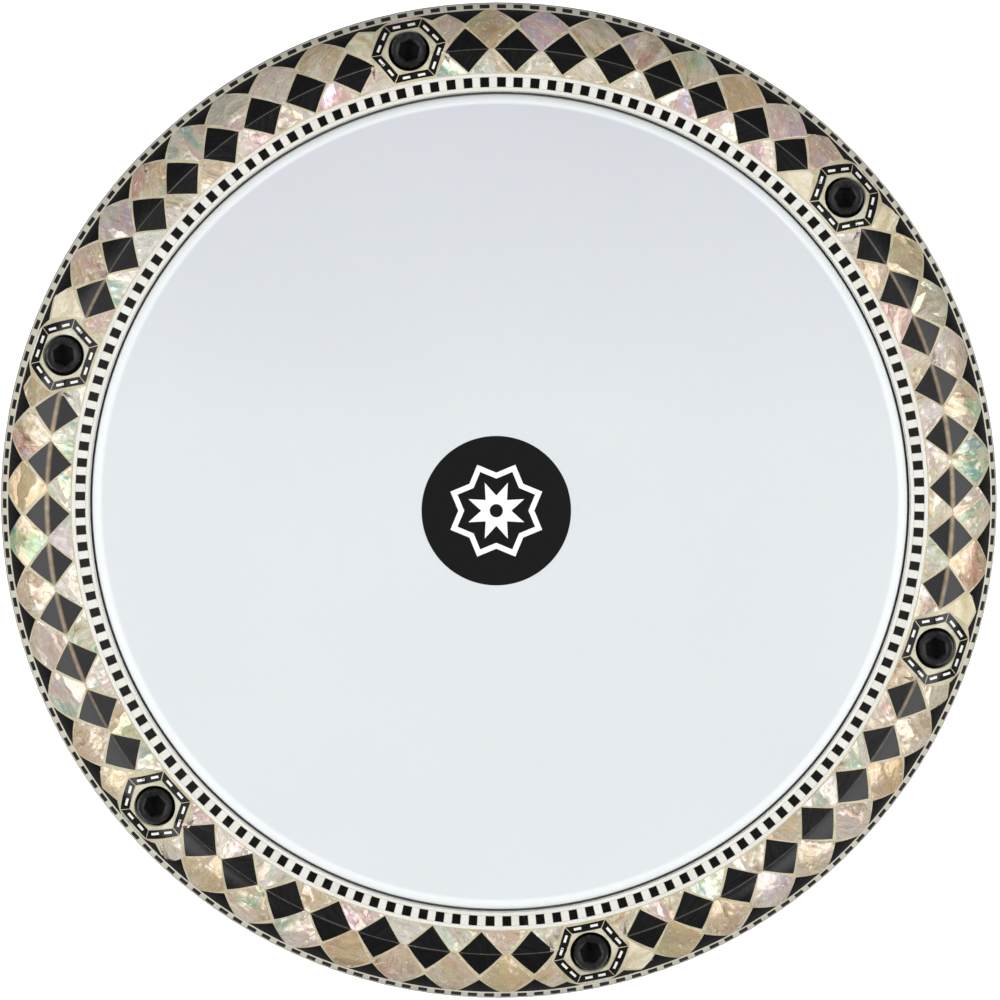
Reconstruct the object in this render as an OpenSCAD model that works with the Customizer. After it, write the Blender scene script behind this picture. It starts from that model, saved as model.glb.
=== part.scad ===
// Darbuka: a goblet hand drum in cast aluminium, inlaid with pearl and black tiles.
// +Z is up. The origin is the centre of the foot's underside.

/* [Shell] */
// Height from the floor to the crest of the counter rim
drum_h = 445; // [430:5:460]
// Outer radius of the foot's edge
foot_r = 112.5; // [105:0.5:118]
// Outer radius of the neck
neck_r = 52; // [48:0.5:56]
// Height at which the bowl and the foot join
joint_z = 205; // [195:5:215]
// Wall thickness of the two castings
wall = 3.5; // [3:0.5:5]
// Thickness of the inlay, tiles and resin together
inlay_t = 1.2; // [1:0.1:1.5]
// How strongly the foot flares
bell_power = 2.6; // [2.2:0.1:3]

/* [Head] */
// Outer radius of the bearing edge
edge_r = 110.5; // [110:0.1:110.8]
// Rounding of the bearing edge
edge_round = 2; // [1.5:0.1:2.5]
// Thickness of the film
film_t = 0.25; // [0.2:0.05:0.3]
// How far the film lies below the rim's crest
film_drop = 1; // [0.8:0.1:1.2]

/* [Counter rim] */
// Radius of the rim's crest
crest_r = 123; // [122.7:0.1:123.3]
// Radius of the rim's inner wall
rim_bore_r = 111.3; // [111.2:0.1:111.5]
// Slope of the flat flank inside the crest, in degrees
flank_slope = 10; // [9:0.5:11]
// Slope of the round flank just outside the crest, in degrees
round_slope = 20; // [19:0.5:21]
// Radius of the round outer flank
round_r = 19.2; // [19:0.1:19.4]
// Height of the counter rim
rim_h = 24; // [23:0.5:25]
// Gap between the rim and the shell's flange
rim_gap = 3; // [2.5:0.5:4]

/* [Tuning screws] */
// Radius of the circle that the screws stand on
screw_circle_r = 125; // [124.8:0.1:125.2]
// Diameter of the screw's thread
screw_d = 6; // [5:1:6]
// Length of the screw under its head
screw_len = 30; // [28:1:31]
// Diameter of the screw's head
head_d = 10; // [9:0.5:10.2]
// Height of the screw's head
head_h = 6; // [5:0.5:6]
// Width of the hexagon socket across its flats
socket_af = 5; // [4:0.5:5]
// Diameter of the recess that the head sits in
recess_d = 11.3; // [11.2:0.1:11.6]
// How far the screw's head lies below the rim's crest
head_drop = 2.4; // [2:0.2:2.8]

/* [Rim inlay] */
// Black diamonds between one screw and the next
diamonds = 8; // [8:1:8]
// Angle from one black diamond to the next, in degrees
diamond_pitch = 6.42; // [6.34:0.02:6.48]
// Width of the resin joint between two tiles
joint_w = 0.45; // [0.3:0.05:0.6]

/* [Hidden] */
$fn = 96;
screws = 6;
sector = 360 / screws;
screw_nodes = [for (i = [1:screws]) str("tuning_screw_", i)];

cast_grey = [0.62, 0.63, 0.64];
black = [0.04, 0.04, 0.05];
pearl = [0.74, 0.69, 0.60];
cream = [0.92, 0.90, 0.84];
resin = [0.78, 0.74, 0.62];
steel = [0.75, 0.75, 0.76];
film_white = [0.90, 0.92, 0.94];

film_z = drum_h - film_drop;
edge_z = film_z - film_t;
rim_z = drum_h - rim_h;
flange_z = rim_z - rim_gap;
round_c = [crest_r - round_r * sin(round_slope), drum_h - round_r * cos(round_slope)];
rim_r = round_c[0] + round_r;

// The shell's outline
foot_edge_h = 9;
foot_break = 1.5;
foot_tread = 7;
foot_lip_h = 3;
foot_step = 0.5;
neck_z = 190;
neck_band = [196, 214];
spigot_len = 14;
spigot_t = 2;
glue_gap = 0.05;
shoulder_z = 300;
shoulder_r = 110;
wall_top_z = 366;
bowl_lean = 0.06;
flange_r = rim_r - 0.8;
flange_low_z = 402;
flange_break = 1;
string_band = [flange_low_z + 2, flange_z - 2];
collar_wall = 5.5;
collar_break = [1, 1.5];
collar_low_z = 378;
bore_r = neck_r - inlay_t - wall;
// How far the curves' handles lie from their ends
shoulder_handles = [[0, 32], [-3.6, -60]];
cove_handles = [[1.3, 22], [-12.5, -3.4]];
cove_end = [flange_r - 1.5, flange_low_z - 0.6];

// The head's outline
skirt_straight = 4.2;
skirt_flare = [2.45, 4.3];
skirt_end = 1.5;

// The flesh hoop's channel
hoop_in_r = 111.3;
hoop_out_r = 116.8;
hoop_inner_leg = 1;
hoop_outer_leg = 1.5;
hoop_top = 7;
hoop_inner_top = 10.8;
hoop_low = 17;
hoop_floor = 1.5;
hoop_resin_h = 2.9;

// The counter rim's inside: its skirt, its web under the inlay and the pocket round the hoop
skirt_t = 4.4;
skirt_top = 10;
web_low = [7.6, 16];
web_crest = [0.3, 18.3];
web_in = [5, 18];
pocket_wall = 3.6;
pocket_low = 4;
pocket_high = 15;
hoop_gap = 0.3;
hoop_seat = 3.2;
bore_low = 3.4;
ledge_t = 1;
edge_break = 1.5;

// The screws' stack
washer_t = 1.6;
washer_d = 11;
washer_bore_d = 6.4;
hole_d = 6.6;
boss_d = 15;
boss_low = 3;
boss_depth = inlay_t + 1;
boss_a1 = 80;
boss_in_gap = 0.4;
boss_skirt_t = skirt_t - 0.4;
insert_d = 9;
insert_len = 12;
insert_bore_d = screw_d + 0.1;
insert_hole = 14;
head_break = 0.5;
socket_depth = 3;
screw_tip = 0.8;
screw_tip_d = screw_d - 1.4;
under_head_z = drum_h - head_drop - head_h;
seat_z = under_head_z - washer_t;

// The rim's inlay
lip_w = 0.3;
lip_break = 0.1;
tile_t = 0.8;
checker_out_r = 116.35;
tile_in_r = 116.6;
black_in_r = 116.8;
black_out_r = 128.8;
black_half = 2.85;
edge_black_r = 130.1;
edge_black_half = 2.4;
pearl_wide_r = 129.5;
field_out_r = 133.5;
seam = 0.6;
string_a0 = 63.7;
string_a1 = 84;
string_play = 0.2;
fold_a = 4;
rosette_half = [7.95, 10.4];
rosette_hole = 0.75;
hole_inset = 0.015;
mitre = 0.96;
big = 40;

function arc(c, r, a0, a1, n) =
    [for (i = [0:n]) c + r * [cos(a0 + (a1 - a0) * i / n), sin(a0 + (a1 - a0) * i / n)]];
function curve(p, n) = [for (i = [0:n]) let (t = i / n, u = 1 - t)
    u * u * u * p[0] + 3 * u * u * t * p[1] + 3 * u * t * t * p[2] + t * t * t * p[3]];
function reversed(p) = [for (i = [len(p) - 1:-1:0]) p[i]];
function rest(p) = [for (i = [1:len(p) - 1]) p[i]];
// A path's copy, moved inwards by d: paths run upwards with the outside on their right
function inset(p, d) = [for (i = [0:len(p) - 1])
    let (a = p[max(i - 1, 0)], b = p[min(i + 1, len(p) - 1)], t = (b - a) / norm(b - a))
    p[i] + d * [-t[1], t[0]]];
function polar(r, a) = [r * cos(a), r * sin(a)];

function bell_radius(z) = neck_r + (foot_r - foot_step - neck_r)
    * pow(max(neck_z - z, 0) / (neck_z - foot_edge_h), bell_power);
foot_steps = 28;
foot_path = [for (i = [0:foot_steps])
    let (z = foot_edge_h + (neck_band[0] - foot_edge_h) * i / foot_steps) [bell_radius(z), z]];
shoulder_low = [neck_r, neck_band[1]];
shoulder_high = [shoulder_r, shoulder_z];
shoulder_path = curve([shoulder_low, shoulder_low + shoulder_handles[0],
    shoulder_high + shoulder_handles[1], shoulder_high], 24);
wall_path = [[shoulder_r + bowl_lean * (wall_top_z - shoulder_z), wall_top_z]];
cove_path = rest(curve([wall_path[0], wall_path[0] + cove_handles[0],
    cove_end + cove_handles[1], cove_end], 12));
bowl_path = concat(shoulder_path, wall_path, cove_path);

// The rim's outline, d below its outer surface: the flat flank, the crest and the round flank
function flank(r, d) = [r, drum_h - (crest_r - r) * tan(flank_slope)]
    + d * [sin(flank_slope), -cos(flank_slope)];
half_fold = (flank_slope + round_slope) / 2;
crest_tilt = (round_slope - flank_slope) / 2;
function crest(d) = [crest_r, drum_h] - d / cos(half_fold) * [sin(crest_tilt), cos(crest_tilt)];
function round_flank(a0, a1, d, n) = arc(round_c, round_r - d, 90 - a0, 90 - a1, n);
function radius_angle(r) = asin((r - round_c[0]) / round_r);

module each_screw() {
    for (i = [0:screws - 1]) rotate(i * sector) translate([screw_circle_r, 0, 0]) children();
}

module tube(r_out, r_in, z0, z1) {
    translate([0, 0, z0]) difference() {
        cylinder(r = r_out, h = z1 - z0);
        translate([0, 0, -1]) cylinder(r = r_in, h = z1 - z0 + 2);
    }
}

// A band of revolution between two copies of one path
module skin(p, d0, d1) {
    rotate_extrude() polygon(concat(inset(p, d0), reversed(inset(p, d1))));
}

module bowl_shell() {
    outer = inset(bowl_path, inlay_t);
    inner = inset(concat(shoulder_path, wall_path), inlay_t + wall);
    color(cast_grey) difference() {
        rotate_extrude() polygon(concat(
            [[neck_r - inlay_t, joint_z]],
            outer,
            [[flange_r, flange_low_z], [flange_r, flange_z - flange_break]],
            [[flange_r - flange_break, flange_z], [edge_r, flange_z]],
            arc([edge_r - edge_round, edge_z - edge_round], edge_round, 0, 90, 6),
            [[edge_r - collar_wall + collar_break[0], edge_z]],
            [[edge_r - collar_wall, edge_z - collar_break[1]], [edge_r - collar_wall, collar_low_z]],
            reversed(inner),
            [[bore_r, joint_z - spigot_len], [bore_r + spigot_t, joint_z - spigot_len]],
            [[bore_r + spigot_t, joint_z]]));
        each_screw() translate([0, 0, flange_z - insert_hole]) cylinder(d = insert_d, h = insert_hole + 1);
        tube(flange_r + 1, flange_r - inlay_t, string_band[0], string_band[1]);
    }
}

module foot_shell() {
    outer = concat(foot_path, [[neck_r, joint_z]]);
    socket_r = bore_r + spigot_t + glue_gap;
    socket_z = joint_z - spigot_len - glue_gap;
    color(cast_grey) rotate_extrude() polygon(concat(
        [[foot_r - foot_tread, 0], [foot_r - foot_break, 0], [foot_r, foot_break], [foot_r, foot_edge_h - 1]],
        inset(outer, inlay_t),
        [[socket_r, joint_z], [socket_r, socket_z], [bore_r, socket_z]],
        reversed(inset([for (p = outer) if (p[1] < socket_z) p], inlay_t + wall)),
        [[foot_r - foot_tread, foot_lip_h]]));
}

module thread_inserts() {
    color(steel) each_screw() tube(insert_d / 2, insert_bore_d / 2, flange_z - insert_len, flange_z);
}

module head_film() {
    c = [edge_r - edge_round, edge_z - edge_round];
    bend_z = film_z - skirt_straight;
    color(film_white) rotate_extrude() polygon(concat(
        [[0, edge_z], [0, film_z]],
        arc(c, edge_round + film_t, 90, 0, 6),
        [[edge_r + film_t, bend_z]],
        [[edge_r + film_t, bend_z] + [skirt_flare[0], -skirt_flare[1]]],
        [[edge_r + film_t, bend_z] + [skirt_flare[0], -skirt_flare[1] - skirt_end]],
        [[edge_r, bend_z] + [skirt_flare[0], -skirt_flare[1] - skirt_end]],
        [[edge_r, bend_z] + [skirt_flare[0], -skirt_flare[1]]],
        [[edge_r, bend_z]],
        arc(c, edge_round, 0, 90, 6)));
}

module bowl_inlay() {
    color(pearl) skin(bowl_path, 0, inlay_t);
}

module neck_inlay() {
    color(cream) tube(neck_r, neck_r - inlay_t, neck_band[0], neck_band[1]);
}

module foot_inlay() {
    color(pearl) skin(foot_path, 0, inlay_t);
}

module flange_stringing() {
    color(cream) tube(flange_r, flange_r - inlay_t, string_band[0], string_band[1]);
}

module counter_rim() {
    lip_r = rim_bore_r + lip_w;
    lip_z = flank(rim_bore_r, 0)[1];
    seat = inlay_t + glue_gap;
    string_end = 90 - string_a1 - string_play;
    pocket_r = hoop_out_r + pocket_wall;
    color(cast_grey) difference() {
        union() {
            rotate_extrude() polygon(concat(
                [[rim_bore_r, film_z - bore_low], [rim_bore_r, lip_z - lip_break]],
                [flank(rim_bore_r + lip_break, 0), flank(lip_r, 0), flank(lip_r, seat), crest(seat)],
                round_flank(round_slope + fold_a, 90 - string_end, seat, 12),
                arc(round_c, round_r, string_end, 0, 5),
                [[rim_r, rim_z + edge_break]],
                arc([rim_r - edge_break, rim_z + edge_break], edge_break, 0, -90, 4),
                [[rim_r - skirt_t, rim_z], [rim_r - skirt_t, rim_z + skirt_top]],
                [[rim_r - web_low[0], rim_z + web_low[1]], [crest_r + web_crest[0], rim_z + web_crest[1]]],
                [[hoop_out_r + web_in[0], rim_z + web_in[1]], [pocket_r, rim_z + pocket_high]],
                [[pocket_r, rim_z + pocket_low], [hoop_out_r + hoop_gap, rim_z + pocket_low]],
                [[hoop_out_r + hoop_gap, film_z - hoop_top], [rim_bore_r + hoop_seat, film_z - hoop_top]],
                [[rim_bore_r + hoop_seat, film_z - bore_low - ledge_t]]));
            boss_envelope();
        }
        each_screw() translate([0, 0, rim_z - 1]) cylinder(d = hole_d, h = rim_h + 2);
        each_screw() translate([0, 0, seat_z]) cylinder(d = recess_d, h = rim_h);
    }
}

// The screw bosses, kept inside the rim's own outline
module boss_envelope() {
    in_r = hoop_out_r + boss_in_gap;
    intersection() {
        each_screw() translate([0, 0, rim_z + boss_low]) cylinder(d = boss_d, h = rim_h);
        rotate_extrude() polygon(concat(
            [[in_r, rim_z], flank(in_r, boss_depth), crest(boss_depth)],
            round_flank(round_slope + fold_a, boss_a1, boss_depth, 12),
            [[rim_r - boss_skirt_t, rim_z]]));
    }
}

module flesh_hoop() {
    color(cast_grey) rotate_extrude() polygon([
        [hoop_in_r, film_z - hoop_low], [hoop_out_r, film_z - hoop_low],
        [hoop_out_r, film_z - hoop_top], [hoop_out_r - hoop_outer_leg, film_z - hoop_top],
        [hoop_out_r - hoop_outer_leg, film_z - hoop_low + hoop_floor],
        [hoop_in_r + hoop_inner_leg, film_z - hoop_low + hoop_floor],
        [hoop_in_r + hoop_inner_leg, film_z - hoop_inner_top], [hoop_in_r, film_z - hoop_inner_top]]);
}

module hoop_resin() {
    floor_z = film_z - hoop_low + hoop_floor;
    out_r = hoop_out_r - hoop_outer_leg;
    color(resin) tube(out_r, hoop_in_r + hoop_inner_leg, floor_z, floor_z + hoop_resin_h);
}

module screw_washers() {
    color(steel) each_screw() tube(washer_d / 2, washer_bore_d / 2, seat_z, under_head_z);
}

// The part of the rim's surface from radius r0 on the flat flank to angle a1 on the round one
module rim_band(r0, a1, d0, d1) {
    rotate_extrude() polygon(concat(
        [flank(r0, d0), crest(d0)], round_flank(round_slope + fold_a, a1, d0, 9),
        reversed(round_flank(round_slope + fold_a, a1, d1, 9)), [crest(d1), flank(r0, d1)]));
}

function hexagon(k) = [for (a = [0:60:300])
    [k * rosette_half[0] / cos(30) * sin(a), k * rosette_half[1] * cos(a)]];

module rosette_blank() {
    each_screw() translate([0, 0, drum_h - big / 2]) linear_extrude(big) polygon(hexagon(1.03));
}

// Upright prisms with the plan given by each child, at every diamond or between the diamonds
module at_diamonds(half_step) {
    first = half_step ? -0.5 : 0;
    for (s = [0:screws - 1], k = [first:diamonds - 1 - first])
        rotate(s * sector + sector / 2 + (k - (diamonds - 1) / 2) * diamond_pitch)
            translate([0, 0, drum_h - big / 2]) linear_extrude(big) children();
}

// Half the angle between two tiles' middles, less half a joint, at radius r
function half_angle(r) = diamond_pitch / 2 - atan(joint_w / 2 / r);

module black_plan() {
    polygon([polar(black_in_r, 0), polar(crest_r - joint_w / 2, black_half),
        polar(crest_r - joint_w / 2, -black_half)]);
    polygon([polar(black_out_r, 0), polar(crest_r + joint_w / 2, -black_half),
        polar(crest_r + joint_w / 2, black_half)]);
    polygon([polar(edge_black_r, 0), polar(field_out_r, -edge_black_half),
        polar(field_out_r, edge_black_half)]);
}

module pearl_plan() {
    edge_half = half_angle(field_out_r) - edge_black_half;
    polygon([polar(crest_r + joint_w, 0), polar(pearl_wide_r, -half_angle(pearl_wide_r)),
        polar(field_out_r, -edge_half), polar(field_out_r, edge_half),
        polar(pearl_wide_r, half_angle(pearl_wide_r))]);
    polygon([polar(crest_r - joint_w, 0), polar(tile_in_r, half_angle(tile_in_r)),
        polar(tile_in_r, -half_angle(tile_in_r))]);
}

module rim_resin() {
    color(resin) difference() {
        rim_band(checker_out_r, radius_angle(field_out_r) + seam, tile_t, inlay_t);
        each_screw() translate([0, 0, drum_h - big / 2]) cylinder(d = recess_d, h = big);
    }
}

module rim_black_tiles() {
    color(black) difference() {
        intersection() {
            rim_band(checker_out_r, radius_angle(field_out_r) + seam, 0, tile_t);
            at_diamonds(false) black_plan();
        }
        rosette_blank();
    }
}

module rim_pearl_tiles() {
    color(pearl) difference() {
        intersection() {
            rim_band(checker_out_r, radius_angle(field_out_r) + seam, 0, tile_t);
            at_diamonds(true) pearl_plan();
        }
        rosette_blank();
    }
}

module rim_checker_ring() {
    inner = rim_bore_r + lip_w + glue_gap;
    color(cream) rotate_extrude() polygon([flank(inner, 0), flank(checker_out_r, 0),
        flank(checker_out_r, inlay_t), flank(inner, inlay_t)]);
}

module rim_edge_stringing() {
    color(cream) rotate_extrude() polygon(concat(
        round_flank(string_a0, string_a1, 0, 4), reversed(round_flank(string_a0, string_a1, inlay_t, 4))));
}

module rosette_strips() {
    outer = hexagon(1);
    inner = hexagon(rosette_hole);
    color(black) intersection() {
        rim_band(checker_out_r, radius_angle(field_out_r) + seam, 0, tile_t);
        each_screw() translate([0, 0, drum_h - big / 2]) linear_extrude(big) for (i = [0:5]) {
            j = (i + 1) % 6;
            m_out = (outer[i] + outer[j]) / 2;
            m_in = (inner[i] + inner[j]) / 2;
            polygon([m_out + mitre * (outer[i] - m_out), m_out + mitre * (outer[j] - m_out),
                m_in + mitre * (inner[j] - m_in), m_in + mitre * (inner[i] - m_in)]);
        }
    }
}

module rosette_fields() {
    color(cream) difference() {
        intersection() {
            rim_band(checker_out_r, radius_angle(field_out_r) + seam, 0, tile_t);
            each_screw() translate([0, 0, drum_h - big / 2]) linear_extrude(big)
                polygon(hexagon(rosette_hole - hole_inset));
        }
        each_screw() translate([0, 0, drum_h - big / 2]) cylinder(d = recess_d, h = big);
    }
}

module tuning_screw(i) {
    low_z = under_head_z - screw_len;
    top_z = under_head_z + head_h;
    color(black) rotate(i * sector) translate([screw_circle_r, 0, 0]) difference() {
        union() {
            translate([0, 0, under_head_z]) cylinder(d = head_d, h = head_h - head_break);
            translate([0, 0, top_z - head_break])
                cylinder(d1 = head_d, d2 = head_d - 2 * head_break, h = head_break);
            translate([0, 0, low_z + screw_tip]) cylinder(d = screw_d, h = screw_len - screw_tip);
            translate([0, 0, low_z]) cylinder(d1 = screw_tip_d, d2 = screw_d, h = screw_tip);
        }
        translate([0, 0, top_z - socket_depth])
            cylinder(d = socket_af / cos(30), h = socket_depth + 1, $fn = 6);
    }
}

bowl_shell();
foot_shell();
thread_inserts();
head_film();
bowl_inlay();
neck_inlay();
foot_inlay();
flange_stringing();
counter_rim();
flesh_hoop();
hoop_resin();
screw_washers();
rim_resin();
rim_black_tiles();
rim_pearl_tiles();
rim_checker_ring();
rim_edge_stringing();
rosette_strips();
rosette_fields();
for (i = [0:screws - 1]) tuning_screw(i);
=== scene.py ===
"""Darbuka: the looks of the drum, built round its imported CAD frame, in metres and radians."""
import math
import random

import bmesh
import bpy
import numpy as np
from mathutils import Matrix, Vector


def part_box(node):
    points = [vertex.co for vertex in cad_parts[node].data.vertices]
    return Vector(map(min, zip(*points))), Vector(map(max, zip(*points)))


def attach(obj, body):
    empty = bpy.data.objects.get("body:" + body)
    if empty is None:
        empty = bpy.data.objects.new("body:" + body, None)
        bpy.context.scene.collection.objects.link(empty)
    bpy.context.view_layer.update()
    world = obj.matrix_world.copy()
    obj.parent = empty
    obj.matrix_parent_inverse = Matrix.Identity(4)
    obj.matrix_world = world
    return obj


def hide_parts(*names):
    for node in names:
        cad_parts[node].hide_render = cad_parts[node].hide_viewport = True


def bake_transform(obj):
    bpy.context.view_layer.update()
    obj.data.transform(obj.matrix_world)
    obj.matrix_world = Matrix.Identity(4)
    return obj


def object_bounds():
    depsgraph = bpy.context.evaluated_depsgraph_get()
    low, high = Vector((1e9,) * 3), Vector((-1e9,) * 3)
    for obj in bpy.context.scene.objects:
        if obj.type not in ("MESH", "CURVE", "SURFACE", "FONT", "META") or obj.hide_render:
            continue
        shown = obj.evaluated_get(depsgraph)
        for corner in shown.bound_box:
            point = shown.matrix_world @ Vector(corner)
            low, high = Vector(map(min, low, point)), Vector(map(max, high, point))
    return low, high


MM = 0.001
TAU = 2 * math.pi

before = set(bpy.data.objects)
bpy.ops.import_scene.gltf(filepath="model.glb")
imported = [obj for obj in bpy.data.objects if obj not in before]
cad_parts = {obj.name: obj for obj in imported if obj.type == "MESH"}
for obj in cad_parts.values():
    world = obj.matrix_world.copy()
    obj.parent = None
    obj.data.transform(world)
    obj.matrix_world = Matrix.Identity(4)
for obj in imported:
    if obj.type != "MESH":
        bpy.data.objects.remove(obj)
cad_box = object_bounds()
random.seed(7)


# ---- sizes, from the frame
def reach(node):
    """How far a round node reaches from the drum's axis."""
    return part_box(node)[1].x


def heights(node):
    """The heights of a node's lowest and highest points."""
    low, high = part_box(node)
    return low.z, high.z


SCREWS = 6
SECTOR = TAU / SCREWS
SCREW_LOW, SCREW_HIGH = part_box("tuning_screw_1")
SCREW_R = (SCREW_LOW.x + SCREW_HIGH.x) / 2
HEAD_R = (SCREW_HIGH.x - SCREW_LOW.x) / 2
TOP_Z = cad_box[1][2]
RIM_R = reach("counter_rim")
RIM_LOW_Z = heights("counter_rim")[0]
FILM_Z = heights("head_film")[1]
FLANGE_R = reach("flange_stringing")
FLANGE_BAND = heights("flange_stringing")
NECK_R = reach("neck_inlay")
NECK_BAND = heights("neck_inlay")
FOOT_R = reach("foot_shell")
WASHER_TOP_Z = heights("screw_washers")[1]

# The rim's outer surface: a flat flank inside the crest, and a round one outside it
CREST_R = 123.0 * MM
FLANK_SLOPE = math.radians(10)
ROUND_SLOPE = math.radians(20)
ROUND_R = (RIM_R - CREST_R) / (1 - math.sin(ROUND_SLOPE))
ROUND_CENTRE = (CREST_R - ROUND_R * math.sin(ROUND_SLOPE), TOP_Z - ROUND_R * math.cos(ROUND_SLOPE))
RECESS_R = 11.3 / 2 * MM
LIP_R = 111.6 * MM

# The drum as it is seen from above: the print's right and its top
PHI = math.radians(18.6)
RIGHT = Vector((math.cos(PHI), math.sin(PHI), 0))
UP = Vector((-math.sin(PHI), math.cos(PHI), 0))

# The head: its bearing edge, its film and the ink on it
EDGE_R = 110.5 * MM
EDGE_ROUND = 2.0 * MM
FILM_T = 0.25 * MM
SKIRT_STRAIGHT = 4.2 * MM
INK_T = 0.03 * MM

# The inlay: its tiles, and the resin bed that lies a little below their faces
TILE_T = 0.8 * MM
JOINT = 0.28 * MM
FINE_JOINT = 0.1 * MM
BEVEL = 0.07 * MM
FINE_BEVEL = 0.04 * MM
LINE_BEVEL = 0.05 * MM
DEEPEST_LEAN = 0.03 * MM
RESIN_SUNK = 0.05 * MM
SHELL_RESIN_SUNK = 0.1 * MM
RESIN_DEPTH = 1.15 * MM


def arc_points(centre, radius, start, end, count):
    """Points (r, z) on an arc; the angles are from +r towards +z."""
    angles = np.linspace(start, end, count)
    return [(centre[0] + radius * math.cos(a), centre[1] + radius * math.sin(a)) for a in angles]


def bezier(p, count):
    """Points (r, z) on a cubic curve with four control points."""
    t = np.linspace(0, 1, count)[:, None]
    p = np.array(p)
    u = 1 - t
    return [tuple(q) for q in u**3 * p[0] + 3 * u * u * t * p[1] + 3 * u * t * t * p[2] + t**3 * p[3]]


class Profile:
    """A line turned round the drum's axis. A place on it is an angle, a length s along it and a height."""

    STEP = 0.1 * MM

    def __init__(self, points, smooth=0.8 * MM):
        p = np.array(points, float)
        steps = np.hypot(*np.diff(p, axis=0).T)
        s = np.concatenate([[0], np.cumsum(steps)])
        self.length = s[-1]
        self.s = np.linspace(0, self.length, int(self.length / self.STEP) + 2)
        self.r = np.interp(self.s, s, p[:, 0])
        self.z = np.interp(self.s, s, p[:, 1])
        window = max(1, int(smooth / self.STEP))
        kernel = np.ones(2 * window + 1) / (2 * window + 1)
        dr, dz = (np.convolve(np.pad(np.gradient(v), window, mode="edge"), kernel, mode="valid")
                  for v in (self.r, self.z))
        size = np.hypot(dr, dz)
        self.normal_r, self.normal_z = dz / size, -dr / size

    def place(self, angle, s, height=0.0):
        """Points in space. A path runs upwards with its outer side on the right."""
        angle, s = np.broadcast_arrays(np.asarray(angle, float), np.asarray(s, float))
        r = np.interp(s, self.s, self.r) + height * np.interp(s, self.s, self.normal_r)
        z = np.interp(s, self.s, self.z) + height * np.interp(s, self.s, self.normal_z)
        return np.stack([r * np.cos(angle), r * np.sin(angle), z], -1)

    def radius(self, s):
        return float(np.interp(s, self.s, self.r))

    def at_z(self, z):
        """The length s at which a path that only climbs reaches height z."""
        return float(np.interp(z, self.z, self.s))

    def at_r(self, r):
        """The length s at which a path that only runs inwards reaches radius r."""
        return float(np.interp(-r, -self.r, self.s))


def rim_profile():
    lip_r = LIP_R - 0.2 * MM
    lip = (lip_r, TOP_Z - (CREST_R - lip_r) * math.tan(FLANK_SLOPE))
    curve = arc_points(ROUND_CENTRE, ROUND_R, 0, math.pi / 2 - ROUND_SLOPE, 60)
    return Profile([(RIM_R, RIM_LOW_Z + 1.5 * MM), *curve, lip], smooth=0.5 * MM)


RIM = rim_profile()
CREST_S = RIM.at_r(CREST_R)


def rim_s(tilt_degrees):
    """The rim path's length at which the round flank leans by that many degrees."""
    r = ROUND_CENTRE[0] + ROUND_R * math.sin(math.radians(tilt_degrees))
    curved = RIM.r < RIM_R - 1e-6
    return float(np.interp(-r, -RIM.r[curved], RIM.s[curved]))


# ---- materials
def srgb(*levels):
    """A linear colour from 0-255 sRGB levels."""
    shares = (level / 255 for level in levels)
    return tuple(v / 12.92 if v <= 0.04045 else ((v + 0.055) / 1.055) ** 2.4 for v in shares)


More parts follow.
